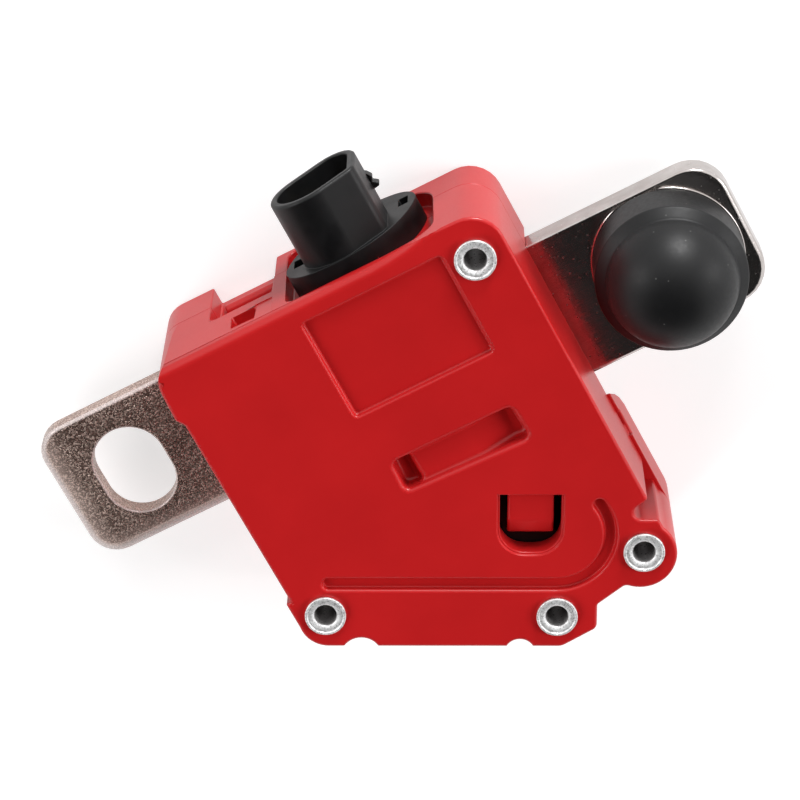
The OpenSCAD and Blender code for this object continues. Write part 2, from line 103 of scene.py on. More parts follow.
# %% Shader kit
class Wire:
    """An output socket in a material, which arithmetic extends with Math nodes."""

    def __init__(self, tree, socket):
        self.tree, self.socket = tree, socket

    def join(self, operation, first, second):
        return Paint.add(self.tree, "ShaderNodeMath", {"operation": operation}, {0: first, 1: second})

    def __add__(self, other): return self.join("ADD", self, other)
    def __radd__(self, other): return self.join("ADD", other, self)
    def __rsub__(self, other): return self.join("SUBTRACT", other, self)
    def __mul__(self, other): return self.join("MULTIPLY", self, other)


class Paint:
    """A new material with a Principled shader, and the nodes that lead to it."""

    def __init__(self, name, **constants):
        self.material = bpy.data.materials.new(name)
        self.material.use_nodes = True
        self.tree = self.material.node_tree
        self.shader = self.tree.nodes["Principled BSDF"]
        for socket, value in constants.items():
            self.shader.inputs[socket.replace("_", " ")].default_value = value
        self.place = self.node("ShaderNodeTexCoord", out="Object")

    @staticmethod
    def add(tree, kind, settings=None, sockets=None, out=0):
        made = tree.nodes.new(kind)
        for key, value in (settings or {}).items():
            setattr(made, key, value)
        for key, value in (sockets or {}).items():
            if isinstance(value, Wire):
                tree.links.new(value.socket, made.inputs[key])
            else:
                made.inputs[key].default_value = value
        return Wire(tree, made.outputs[out])

    def node(self, kind, settings=None, sockets=None, out=0):
        return self.add(self.tree, kind, settings, sockets, out)

    def noise(self, size, detail=3, rough=0.55, where=None):
        """Soft random blotches of about this size in metres, from 0 to 1."""
        sockets = {"Vector": where or self.place, "Scale": 1 / size, "Detail": detail, "Roughness": rough}
        return self.node("ShaderNodeTexNoise", {}, sockets)

    def cells(self, size, out=0):
        """Random cells of about this size in metres, as the distance to their middles or another output."""
        sockets = {"Vector": self.place, "Scale": 1 / size}
        return self.node("ShaderNodeTexVoronoi", {"feature": "F1"}, sockets, out)

    def stretched(self, factors):
        """The place with each axis scaled by its factor, so that noise on it turns to lines."""
        return self.node("ShaderNodeMapping", {}, {"Vector": self.place, "Scale": factors})

    def part_of(self, vector, axis):
        """One of a vector's three numbers."""
        return self.node("ShaderNodeSeparateXYZ", {}, {"Vector": vector}, out=axis)

    def upright(self):
        """The Z of the piece's own normal: 0 on a wall, and 1 or -1 on a level face."""
        return self.part_of(self.node("ShaderNodeTexCoord", out="Normal"), "Z")

    def spread(self, value, low, high, start=0.0, end=1.0):
        """Moves a value's range from start..end to low..high, and no further."""
        sockets = {0: value, 1: start, 2: end, 3: low, 4: high}
        return self.node("ShaderNodeMapRange", {"clamp": True}, sockets)

    def blend(self, factor, first, second):
        """Mixes two colours."""
        sockets = {0: factor, 6: first, 7: second}
        return self.node("ShaderNodeMix", {"data_type": "RGBA"}, sockets, out=2)

    def vary(self, noise, low, high):
        """Moves the usual range of a noise, 0.3 to 0.7, to low..high."""
        return self.spread(noise, low, high, 0.3, 0.7)

    def mottle(self, noise, first, second):
        """Mixes two colours by the usual range of a noise."""
        return self.blend(self.vary(noise, 0, 1), first, second)

    def bump(self, height, depth, over=None):
        """Turns a height from 0 to 1 into a surface that is that deep, in metres."""
        sockets = {"Height": height, "Strength": 1.0, "Distance": depth}
        if over:
            sockets["Normal"] = over
        return self.node("ShaderNodeBump", {}, sockets)

    def set(self, **wires):
        for socket, wire in wires.items():
            self.tree.links.new(wire.socket, self.shader.inputs[socket.replace("_", " ")])


def colour(red, green, blue):
    """An 8-bit screen colour as the linear one that a material holds."""
    def linear(part):
        part /= 255
        return part / 12.92 if part <= 0.04045 else ((part + 0.055) / 1.055) ** 2.4
    return (linear(red), linear(green), linear(blue), 1)


print("materials can now be written as sums")

# %% [markdown]
# ## Floor, light and the dark side of the studio
# The photograph is a catalogue picture on white. The walls of the part see that white floor at a flat angle
# and turn pink with it, while the faces that look up mirror the dark side of the studio, where the camera
# stands. So the floor and the world are white, and one large dark card hangs where the upward faces look.
# The floor is a mid grey that glows for the camera and for reflections, so that it looks white, keeps a
# soft shadow, and doesn't throw too much light up at the walls.

# %% Floor and world
def stage_plane(name, size, place, facing, material):
    """A square that belongs to the studio and not to the part."""
    plane = bmesh.new()
    bmesh.ops.create_grid(plane, x_segments=1, y_segments=1, size=size / 2)
    turn = Vector(facing).to_track_quat("Z", "Y").to_matrix().to_4x4()
    bmesh.ops.transform(plane, matrix=Matrix.Translation(place) @ turn, verts=plane.verts)
    data = bpy.data.meshes.new(name)
    plane.to_mesh(data)
    data.materials.append(material)
    thing = bpy.data.objects.new(name, data)
    bpy.context.scene.collection.objects.link(thing)
    return thing


floor_gap = 0.05 * MM
camera_glow, mirror_glow = 0.66, 0.5
floor_paint = Paint("floor_paint", Roughness=0.9, Emission_Color=(1, 1, 1, 1))
floor_grain = floor_paint.noise(0.05)
floor_shade = floor_paint.blend(floor_grain, (0.49, 0.49, 0.49, 1), (0.51, 0.51, 0.51, 1))
floor_paint.set(Base_Color=floor_shade)
seen = floor_paint.node("ShaderNodeLightPath", out="Is Camera Ray")
mirrored = floor_paint.node("ShaderNodeLightPath", out="Is Glossy Ray")
floor_paint.set(Emission_Strength=seen * camera_glow + mirrored * mirror_glow)
stage_plane("floor", 6, Vector((0, 0, cad_box[0].z - floor_gap)), (0, 0, 1), floor_paint.material)

card_paint = Paint("card_paint", Roughness=1.0, Base_Color=(0.012, 0.012, 0.012, 1))
card_place = Vector((-0.19, -0.33, 0.80))
card = stage_plane("dark_card", 2.0, card_place, -card_place, card_paint.material)
card.visible_camera = False

world = bpy.data.worlds.new("world")
bpy.context.scene.world = world
world.use_nodes = True
sky = world.node_tree
rays = {way: Paint.add(sky, "ShaderNodeLightPath", out=way)
        for way in ("Is Camera Ray", "Is Glossy Ray", "Is Transmission Ray")}
sky_white = rays["Is Camera Ray"].join("MAXIMUM", rays["Is Camera Ray"], rays["Is Glossy Ray"])
sky_white = sky_white.join("MAXIMUM", sky_white, rays["Is Transmission Ray"])
sky_light = 0.26
sky.nodes["Background"].inputs["Color"].default_value = (1, 1, 1, 1)
sky.links.new((sky_light + sky_white * (1 - sky_light)).socket, sky.nodes["Background"].inputs["Strength"])
print("white floor, white world and one dark card")

# %% [markdown]
# ## Lamps
# Six soft lamps stand in a ring, all lower than the dark card, because light that comes in low leaves the
# pockets dark, as in the photograph. The three large ones only throw light and aren't mirrored. Of the
# other three, the lowest one makes the highlight near the top of the rubber cap, and two make its faint
# side lights.

# %% Lamps
def softbox(name, place, width, height, power, mirrored=True):
    """A soft lamp that faces the part. One that isn't mirrored is left out of every reflection."""
    lamp = bpy.data.lights.new(name, "AREA")
    lamp.shape = "RECTANGLE"
    lamp.size, lamp.size_y = width, height
    lamp.energy = power
    thing = bpy.data.objects.new(name, lamp)
    thing.location = place
    thing.rotation_euler = (-Vector(place)).to_track_quat("-Z", "Y").to_euler()
    thing.visible_glossy = mirrored
    bpy.context.scene.collection.objects.link(thing)


softbox("back_light", (0.10, 0.62, 0.40), 0.5, 0.3, 0.5, mirrored=False)
softbox("left_front_light", (-0.62, -0.12, 0.40), 0.35, 0.35, 3.2, mirrored=False)
softbox("right_front_light", (0.62, -0.28, 0.42), 0.35, 0.35, 4.0, mirrored=False)
softbox("low_back_light", (0.42, 0.50, 0.07), 0.16, 0.3, 5.0)
softbox("left_light", (-0.45, 0.5, 0.34), 0.2, 0.2, 0.9)
softbox("right_light", (0.66, -0.1, 0.16), 0.2, 0.2, 0.8)
bpy.context.scene.view_settings.view_transform = "Standard"
print("six softboxes")

# %% [markdown]
# ## Rounding what a mould and a press leave sharp in the drawing
# The solids have exact corners, and a corner with no radius never catches the light. On the real covers
# every edge is rounded by a few tenths of a millimetre, and the thin bright lines in the photograph are
# those roundings. A Bevel modifier makes them all in one pass, and each edge carries its own radius as a
# weight. A bevel only comes out clean where the faces beside it are clean. So each flat face that has holes
# or a long outline first gets a band of four-sided faces along its rim, by an inset, and its middle is
# filled anew.

# %% Flat faces of a solid
sharp_from = radians(35)
same_way = 0.99998  # the cosine between the normals of triangles that lie in one flat face
straight_in = 0.7  # the cosine from which a way across a face counts as going inwards
no_room_limit = 1.0  # metres, more than any face measures


def flat_faces(shape):
    """Groups the triangles of a merged solid into its flat faces."""
    left, groups = set(shape.faces), []
    while left:
        group = [left.pop()]
        for face in group:
            near = {other for edge in face.edges for other in edge.link_faces} & left
            near = {other for other in near if other.normal.dot(group[0].normal) > same_way}
            left -= near
            group.extend(near)
        groups.append(group)
    return groups


def rim_of(group):
    """The corners of a flat face's rim, each with the edge that follows it."""
    held = set(group)
    return [loop for face in group for loop in face.loops if set(loop.edge.link_faces) - held]


def room_beside(corner, rim):
    """How far a flat face reaches inwards from the middle of one edge of its rim."""
    start, end = corner.vert.co, corner.link_loop_next.vert.co
    middle, inward = (start + end) / 2, corner.face.normal.cross(end - start).normalized()
    room = no_room_limit
    for other in rim:
        a, b = other.vert.co, other.link_loop_next.vert.co
        near, part = intersect_point_line(middle, a, b)
        away = (a if part < 0 else b if part > 1 else near) - middle
        if other is not corner and away.dot(inward) > straight_in * away.length:
            room = min(room, away.length)
    return room


print("edges that turn by more than", round(sharp_from * 180 / pi), "degrees are rounded")

# %% [markdown]
# ## From a solid to a shape that can be rounded
# A radius that is too large for the face beside it would fold the surface over itself. So each one is cut
# down to a share of the room beside its edge, and where there is next to no room the edge stays sharp. The
# weights are set at the end, when the flat faces are filled anew, and each edge is found again by its
# middle.

# %% Rounding kit
widest = 2.2  # millimetres, the radius of an edge whose weight is 1
tightest = 0.08  # millimetres, an edge with less of its flat face beside it stays sharp
same_spot = 0.015 * MM  # corners of a solid that are closer than this are one
longest_rim = 60  # edges, a flat face with more of them gets a band
no_band_limit = 9  # millimetres, more than any radius
band_share, most_of_band, over_radius = 0.45, 0.9, 1.3


def middle_of(edge):
    return (edge.verts[0].co + edge.verts[1].co) / 2


def clean_copy(node, radius_at, change=None, share=0.42):
    """A solid of the frame, merged, with clean flat faces and a weight on each edge that radius_at rounds.
    A rounding takes at most this share of the flat face beside it."""
    shape = bmesh.new()
    shape.from_mesh(nodes[node].data)
    bmesh.ops.remove_doubles(shape, verts=shape.verts, dist=same_spot)
    if change:
        change(shape)
    wanted = {}
    for edge in shape.edges:
        if edge.is_manifold and edge.calc_face_angle(0) > sharp_from:
            wanted[edge] = max(0, radius_at(middle_of(edge) / MM, edge))
    banded = []
    for group in flat_faces(shape):
        rim = rim_of(group)
        rooms = {corner.edge: room_beside(corner, rim) / MM for corner in rim}
        edges = {edge for face in group for edge in face.edges}
        verts = {vert for face in group for vert in face.verts}
        whole = len(verts) - len(edges) + len(group) == 1 and len(rim) < longest_rim
        rounded_here = [edge for edge in rooms if wanted.get(edge, 0) > 0]
        enough = [room for room in rooms.values() if room > tightest] or [max(rooms.values())]
        band = no_band_limit if whole else band_share * min(enough)
        for edge in rounded_here:
            most = min(share * rooms[edge], most_of_band * band) if rooms[edge] > tightest else 0
            wanted[edge] = min(wanted[edge], most)
        if whole and len(group) > 1:
            bmesh.ops.dissolve_faces(shape, faces=group, use_verts=False)
        elif not whole and rounded_here:
            banded.append((group, min(band, over_radius * max(wanted[edge] for edge in rounded_here))))
    radii = [(middle_of(edge), radius) for edge, radius in wanted.items() if edge.is_valid]
    for group, band in banded:
        normal = group[0].normal.copy()
        bmesh.ops.inset_region(
            shape, faces=group, thickness=band * MM, use_boundary=True, use_even_offset=True)
        bmesh.ops.delete(shape, geom=group, context="FACES")
        open_edges = [edge for edge in shape.edges if edge.is_boundary]
        made = bmesh.ops.triangle_fill(shape, use_beauty=True, edges=open_edges, normal=normal)["geom"]
        for face in made:
            if isinstance(face, bmesh.types.BMFace) and face.normal.dot(normal) < 0:
                face.normal_flip()
    weights = shape.edges.layers.float.new("bevel_weight_edge")
    edges = list(shape.edges)
    tree = KDTree(len(edges))
    for number, edge in enumerate(edges):
        tree.insert(middle_of(edge), number)
    tree.balance()
    for middle, radius in radii:
        _, number, distance = tree.find(middle)
        if distance < 0.001 * MM:
            edges[number][weights] = radius / widest
    rounded = sum(radius > 0 for radius in wanted.values())
    torn = sum(edge.is_boundary for edge in shape.edges)
    print(node, "-", rounded, "rounded edges,", len(banded), "banded faces,", torn, "torn")
    return shape


slots = {part["node"]: part["material_slot"] for part in frame["record"]["subparts"]}
body_of = {node: body for body, held in frame["record"]["behaviour"]["bodies"].items() for node in held}


def show(node, shape, paint, crease=40, segments=3):
    """Turns a bmesh into the piece that stands for a solid, with its weighted edges rounded."""
    for face in shape.faces:
        face.smooth = True
    rounded = shape.edges.layers.float.get("bevel_weight_edge")
    for edge in shape.edges:
        edge.smooth = edge.calc_face_angle(0) < radians(crease)
    data = bpy.data.meshes.new(node + "_look")
    shape.to_mesh(data)
    shape.free()
    data.materials.append(paint)
    piece = bpy.data.objects.new(node + "_look", data)
    bpy.context.scene.collection.objects.link(piece)
    if rounded:
        bevel = piece.modifiers.new("rounded", "BEVEL")
        bevel.limit_method = "WEIGHT"
        bevel.width = widest * MM
        bevel.segments = segments
        bevel.use_clamp_overlap = False
    even = piece.modifiers.new("even_shading", "WEIGHTED_NORMAL")
    even.keep_sharp = True
    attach(piece, body_of[node])
    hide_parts(node)


def join(shape, other):
    """Adds a second shape to the first, as one mesh."""
    data = bpy.data.meshes.new("joined")
    other.to_mesh(data)
    other.free()
    shape.from_mesh(data)
    bpy.data.meshes.remove(data)


print("edges can be rounded by up to", widest, "mm")

# %% [markdown]
# ## Red plastic
# The covers are moulded in a glass-filled red plastic with a satin skin. Its colour is nearly even, with a
# faint cloudiness where the melt flowed, and its skin is a little rough all over, with very low waves that
# break up a reflection. Noise at three sizes gives those: cloud in the colour, grain in the roughness and
# waves in the bump. At a flat angle the satin skin mirrors the white floor, which is why the walls look
# pink.

# %% Red plastic
red_paint = Paint("red_plastic", IOR=1.5)
cloud = red_paint.noise(14 * MM, detail=4)
grain = red_paint.noise(0.35 * MM, detail=2)
waves = red_paint.noise(2.2 * MM, detail=0)
red_paint.set(
    Base_Color=red_paint.mottle(cloud, colour(184, 27, 29), colour(194, 30, 32)),
    Roughness=red_paint.vary(grain, 0.3, 0.34),
    Normal=red_paint.bump(waves, 0.006 * MM))
print("red plastic with", len(red_paint.tree.nodes), "nodes")

# %% [markdown]
# ## The two covers
# The front cover carries all the forms that the photograph shows: the label recess, the hand-hold, the
# latch window with its tongue, and the long groove. The hand-hold has the widest rounding. The outline of
# the front and the rim of the label recess have a smaller one, and at its upper left corner the solid is
# round already. The back cover is plainer. Both get a hair of a rounding at the parting plane, which leaves
# the fine dark line that two halves of a case show from the side.

# %% Covers
close = 0.1  # millimetres, an edge no farther from a level than this belongs to it
front_z = 20.0
parting_z, parting_radius = 7.2, 0.1
slant = radians(27.7)
round_corner = (-25.5, 16.5)
label_x, label_y, label_floor = (-9.2, 12), (0.3, 15.8), 19
hand_x, hand_y, hand_floor = (-8, 10.2), (-12.3, -6.5), 17
window_u, window_v = (9.9, 19.2), (-23.2, -13.4)


def within(value, span):
    """Whether a value lies between the two ends of a span."""
    return span[0] < value < span[1]


def along_slant(place):
    """The place in the frame that is turned with the lower edge."""
    return (place.x * cos(slant) - place.y * sin(slant), place.x * sin(slant) + place.y * cos(slant))


def front_radius(place, edge):
    u, v = along_slant(place)
    if abs(place.z - parting_z) < close:
        return parting_radius
    if place.x < round_corner[0] and place.y > round_corner[1]:
        return 0
    if within(place.x, label_x) and within(place.y, label_y) and place.z > label_floor:
        return 0.45
    if within(place.x, hand_x) and within(place.y, hand_y) and place.z > hand_floor:
        return 0.8 if place.z > front_z - close else 0.6
    if within(u, window_u) and within(v, window_v):
        return 0.3
    if place.z > front_z - close / 2:
        return 0.4
    return 0.25


def back_radius(place, edge):
    if abs(place.z - parting_z) < close:
        return parting_radius
    return 0.3 if place.z < close else 0.2


for node, radius_at in (("front_cover", front_radius), ("back_cover", back_radius)):
    show(node, clean_copy(node, radius_at), red_paint.material)

# %% [markdown]
# ## Plating on the bars
# Both bars are stamped copper with tin on it. The slotted bar was tinned over a blasted face, so up close
# it is a field of tiny bright and dark facets, and it sparkles: the bright speckles are painted glints, a
# pale colour in place of the metal. Towards its end and its lower side the face slopes off over about 3 mm,
# where the speckle fades and the tin is painted paler and rosy, a painted sheen of the slope. A bump makes
# that slope, and only its outer half is also rounded in the shape. On the rolled edge itself, which the
# normal tells, a pale silvery colour is painted: a painted sheen, picked by the way the surface faces. The
# stud bar was left smooth and mirrors the dark side of the studio, with a few pits and fine drawing lines.

# %% Two platings
pebble_paint = Paint("pebbled_tin")
grit = pebble_paint.noise(0.4 * MM, detail=4, rough=0.75)
facet = pebble_paint.part_of(pebble_paint.cells(0.15 * MM, out="Color"), "X")
pebbles = facet * 0.7 + grit * 0.6
dimples = pebble_paint.noise(1.3 * MM, detail=2)
tarnish = pebble_paint.noise(6 * MM, detail=3)
sparkle = pebble_paint.spread(pebbles, 0, 1, 0.7, 1.12)
tarnished = pebble_paint.spread(tarnish, 0, 1, 0.35, 0.65)
pebble_shade = pebble_paint.blend(tarnished, (0.31, 0.20, 0.165, 1), (0.50, 0.35, 0.295, 1))
tilt = pebble_paint.upright()
off_level = pebble_paint.spread(tilt * tilt, 1, 0, 0.88, 0.995)
off_wall = pebble_paint.spread(tilt * tilt, 0, 1, 0.01, 0.12)
turned = off_level * off_wall
end_slope, side_slope, slope_drop = (-50.3 * MM, -47.4 * MM), (-6.2 * MM, -3.6 * MM), 0.8 * MM
near_end = pebble_paint.spread(pebble_paint.part_of(pebble_paint.place, "X"), 1, 0, *end_slope)
near_side = pebble_paint.spread(pebble_paint.part_of(pebble_paint.place, "Y"), 1, 0, *side_slope)
sloping = 1 - (1 - near_end) * (1 - near_side)
rolled = 1 - (1 - turned) * (1 - sloping * 0.7)
# painted glints: bright, less metallic speckles in the base colour over the random tarnish tone
tarnish_and_glints = pebble_paint.blend(sparkle, pebble_shade, (0.98, 0.79, 0.70, 1))
# painted sheen: the sloping end and side are painted a paler, even colour
slope_sheen = pebble_paint.blend(sloping * 0.55, tarnish_and_glints, (0.68, 0.54, 0.49, 1))
# painted sheen: the rolled edge, found by its facing, is painted pale and silvery; there and on the slope
# the tin also loses metal
pebble_paint.set(
    Base_Color=pebble_paint.blend(turned * 0.85, slope_sheen, (0.72, 0.63, 0.61, 1)),
    Metallic=(0.86 - sparkle * 0.5) * (1 - rolled * 0.65),
    Roughness=sparkle * 0.4 + 0.22,
    Normal=pebble_paint.bump(pebbles, 0.03 * MM, over=pebble_paint.bump(
        sloping * sloping * -1, slope_drop, over=pebble_paint.bump(dimples, 0.03 * MM))))

mirror_paint = Paint("bright_tin", Metallic=1.0)
lines = mirror_paint.noise(0.12 * MM, detail=2, where=mirror_paint.stretched((0.08, 1, 1)))
ripple = mirror_paint.noise(2.5 * MM, detail=3)
pit = mirror_paint.spread(mirror_paint.cells(0.9 * MM), 1, 0, 0.04, 0.16)
mirror_paint.set(
    Base_Color=mirror_paint.mottle(ripple, (0.55, 0.50, 0.48, 1), (0.66, 0.62, 0.60, 1)),
    Roughness=mirror_paint.vary(lines, 0.12, 0.24) + pit * 0.3,
    Normal=mirror_paint.bump(pit + lines * 0.25, 0.012 * MM, over=mirror_paint.bump(ripple, 0.02 * MM)))
print("pebbled and bright tin")

# %% [markdown]
# ## Turned pieces
# The cap, the rivets and the threaded stud are all turned shapes. A profile of a few points is spun about
# its axis in many small steps. Where the drawing has short straight steps, the profile here has real
# curves.

# %% Spinning a profile
on_plane = 0.0001 * MM


def arc(middle, radius, start, end, steps=8):
    """Points of an arc in the profile's plane, angles in degrees."""
    angles = [radians(start + (end - start) * step / steps) for step in range(steps + 1)]
    return [(middle[0] + radius * cos(angle), middle[1] + radius * sin(angle)) for angle in angles]


def spun(profile, place, steps=96):
    """Spins (radius, height) points in millimetres about an upright axis at place."""
    shape = bmesh.new()
    line = [shape.verts.new((place[0] + r, place[1], place[2] + h)) for r, h in profile]
    rim = [shape.edges.new(pair) for pair in zip(line, line[1:])]
    bmesh.ops.scale(shape, vec=(MM, MM, MM), verts=shape.verts)
    bmesh.ops.spin(shape, geom=line + rim, cent=Vector(place) * MM, axis=(0, 0, 1), dvec=(0, 0, 0),
                   angle=2 * pi, steps=steps, use_merge=True, use_normal_flip=False, use_duplicate=False)
    bmesh.ops.remove_doubles(shape, verts=shape.verts, dist=0.002 * MM)
    bmesh.ops.recalc_face_normals(shape, faces=shape.faces)
    return shape


print("an arc of 90 degrees takes", len(arc((0, 0), 1, 0, 90)), "points")

# %% [markdown]
# ## The two bars
# A press rolls the edge of thick stock over on the punch's side, by about a millimetre, and the rolled edge
# is the brightest line of each bar. The back edges stay fairly sharp. Only the parts outside the housing
# matter, and the tabs inside it are left as they are.

# %% Slotted bar
stud_place, stud_rim = (34.9, -3.0, 7.2), 6.5
slot_place, slot_rim = (-40.8, 3.0, 7.2), 7
housing_x, across = (-22, 19), 4 * MM


def rolled_from(place, start, end, least, most):
    """A radius that grows as the edge goes round from the far side of a bar to its near side."""
    return least + (most - least) * min(1, max(0, (start - place.y) / (start - end)))


def bar_radius(place, edge):
    run = edge.verts[1].co - edge.verts[0].co
    inside = within(place.x, housing_x) and abs(run.x) < across
    if inside or abs(run.z) > 0.5 * MM or (Vector(stud_place) - place).xy.length < stud_rim:
        return 0
    if place.z < parting_z - close or (Vector(slot_place) - place).xy.length < slot_rim:
        return 0.3
    return rolled_from(place, 12, 7, 0.35, 2.0) if place.x < 0 else rolled_from(place, 6, 2, 0.15, 0.95)


slotted_bar = clean_copy("slotted_busbar", bar_radius, share=0.7)
show("slotted_busbar", slotted_bar, pebble_paint.material, segments=6)

# %% [markdown]
# ## The coined ring
# Round the stud the bar is coined up into a flat ring, which comes close to the bar's own edge. A wide
# rounding of that edge needs clean metal beside it. So the ring is first pressed flat in the copy, the
# bar's edge is rounded, and the ring comes back as a turned piece, cut off straight where the bar's edge
# rolls over.

# %% Stud bar
def press_ring_flat(shape):
    """Lowers the coined ring to the level of the bar's face."""
    for vert in shape.verts:
        if vert.co.x > 20 * MM and vert.co.z > (parting_z + close) * MM:
            vert.co.z = parting_z * MM
    bmesh.ops.remove_doubles(shape, verts=shape.verts, dist=same_spot)


coin_r, coin_h, coin_foot, coin_edge = 10.02, 0.6, -0.2, 0.2
hole_r, ring_half = 4.06, 9.4
coin_rim = arc((coin_r - coin_edge, coin_h - coin_edge), coin_edge, 90, 0, steps=4)
coin_bore = [(hole_r, coin_foot), (hole_r, coin_h)]
coin_profile = coin_bore + coin_rim + [(coin_r, coin_foot), coin_bore[0]]
coin = spun(coin_profile, stud_place)
for side in (-1, 1):
    whole = coin.verts[:] + coin.edges[:] + coin.faces[:]
    cut_y = (stud_place[1] + side * ring_half) * MM
    bmesh.ops.bisect_plane(
        coin, geom=whole, dist=on_plane, plane_co=(0, cut_y, 0), plane_no=(0, side, 0), clear_outer=True)
    bmesh.ops.holes_fill(coin, edges=[edge for edge in coin.edges if edge.is_boundary], sides=0)
stud_bar = clean_copy("stud_busbar", bar_radius, change=press_ring_flat)
join(stud_bar, coin)
show("stud_busbar", stud_bar, mirror_paint.material, segments=5)

# %% [markdown]
# ## Rubber cap
# The cap is soft black rubber: a straight skirt that sits in the coined ring of the bar, and a dome a
# little narrower than the skirt, so that a small shoulder runs round between them. Its surface is matt with
# a broad sheen, and it picks up a little dust. The profile runs up the outside, over the dome, and back
# down inside along the sleeve that grips the thread.

# %% Cap
rubber_paint = Paint("black_rubber", IOR=1.5, Specular_IOR_Level=0.3)
bloom = rubber_paint.noise(7 * MM, detail=4)
skin = rubber_paint.noise(0.5 * MM, detail=2)
dust = rubber_paint.spread(rubber_paint.cells(1.9 * MM), 1, 0, 0.03, 0.07)
rubber_shade = rubber_paint.mottle(bloom, colour(15, 15, 16), colour(21, 21, 22))
rubber_paint.set(
    Base_Color=rubber_paint.blend(dust * 0.4, rubber_shade, colour(120, 120, 118)),
    Roughness=rubber_paint.vary(skin, 0.42, 0.5),
    Normal=rubber_paint.bump(skin, 0.004 * MM))

fit = 0.05  # millimetres between pieces that touch
skirt_r, skirt_h, dome_r, dome_h = 9.85, 6.5, 8.55, 7.15
grip_r, grip_outer, bore_h = 4.1, 5.7, 12.5
foot = [(skirt_r - 2.1, 6.6), (skirt_r - 1.7, 0)] + arc((skirt_r - 0.4, 0.4), 0.4, -90, 0)
shoulder = arc((skirt_r - 0.5, skirt_h), 0.5, 0, 45)
sweep_in = [(8.88, 7.67), (8.72, 7.79), (8.60, 7.9)]
dome = arc((0, dome_h), dome_r, 6, 90, steps=36)
bore = [(0, bore_h + 1), (grip_r, bore_h - 0.2), (grip_r, 0.6)]
sleeve = [(grip_outer, 0.6), (grip_outer, 7.6), foot[0]]
cap_z = stud_place[2] + coin_h + fit
cap = spun(foot + shoulder + sweep_in + dome + bore + sleeve, (stud_place[0], stud_place[1], cap_z))
print("cap stands", round(cap_z + dome_h + dome_r, 2), "mm high")
show("stud_cap", cap, rubber_paint.material, crease=28)

# %% [markdown]
# ## Tubular rivets
# Four steel tubes hold the covers together. Each end is rolled over into a lip with a thin raised bead at
# its rim and a shallow dish inside it, which ends in a short funnel where the tool pressed in. Then the
# bore goes straight down. The lip is the bright ring in the photograph, and the foot of the bead its thin
# dark line. The zinc on it is a little grey and scuffed. Down in the bore a darker colour is painted, a
# painted shade, which the upright walls get by their own facing.

# %% Rivets
rivet_paint = Paint("rivet_steel", Metallic=0.5)
burr = rivet_paint.noise(0.3 * MM, detail=3)
stain = rivet_paint.noise(0.8 * MM, detail=2)
tilt = rivet_paint.upright()
# painted shade: the upright walls of the bore are painted darker by their facing
bore_shade = rivet_paint.spread(tilt * tilt, 1, 0, 0.03, 0.25)
clean = rivet_paint.spread(burr + stain, 0, 1, 0.8, 1.1)
rim_shade = rivet_paint.blend(clean, (0.68, 0.67, 0.67, 1), (1.0, 1.0, 1.0, 1))
rivet_paint.set(
    Base_Color=rivet_paint.blend(bore_shade, rim_shade, (0.46, 0.44, 0.44, 1)),
    Roughness=rivet_paint.vary(burr, 0.24, 0.4),
    Normal=rivet_paint.bump(burr, 0.03 * MM))

rim_r, tube_r, bore_r, lip, seat = 2.7, 2.0, 1.45, 0.6, 1.2
bead_r, mouth_r = 0.19, 0.4
top, tail_h = front_z + fit, seat - 0.65
seated = arc((rim_r - lip / 2, top + lip / 2), lip / 2, -90, 0, steps=6)
bead = arc((rim_r - bead_r, top + lip - bead_r), bead_r, 10, 160, steps=10)
dish = [(2.27, top + 0.40), (2.2, top + 0.41), (2.08, top + 0.47), (1.94, top + 0.47)]
funnel = arc((bore_r + mouth_r, top - 0.05), mouth_r, 112, 180)
lower = arc((bore_r + mouth_r, tail_h + mouth_r), mouth_r, 180, 270, steps=4)
tail = arc((rim_r - lip / 2, tail_h + lip / 2), lip / 2, -90, 90, steps=10)
tube = [(tube_r, seat), (tube_r, top)]
rivet_profile = tube + seated + bead + dish + funnel + lower + tail + tube[:1]

rivets = ["rivet_upper_right", "rivet_lower_left", "rivet_lower_middle", "rivet_lower_right"]
for node in rivets:
    low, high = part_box(node)
    middle = ((low + high) / 2) / MM
    show(node, spun(rivet_profile, (middle.x, middle.y, 0), steps=64), rivet_paint.material, crease=60)
print(len(rivets), "rivets")

# %% [markdown]
# ## The threaded stud
# Under the cap stands an M8 stud with a pitch of 1.25 mm. The solid keeps a plain shaft, because a thread
# is only skin. Here one zigzag line is spun once round the axis and lifted by one pitch on the way, so that
# its end meets its own start one groove higher. Two cuts then square off the ends, and the tip is turned to
# a cone.

# %% Stud
zinc_paint = Paint("zinc_plating", Metallic=1.0)
haze = zinc_paint.noise(3 * MM, detail=3)
scuff = zinc_paint.noise(0.25 * MM, detail=2)
zinc_paint.set(
    Base_Color=zinc_paint.mottle(haze, (0.52, 0.53, 0.56, 1), (0.66, 0.66, 0.68, 1)),
    Roughness=zinc_paint.vary(scuff, 0.24, 0.4),
    Normal=zinc_paint.bump(scuff, 0.008 * MM))

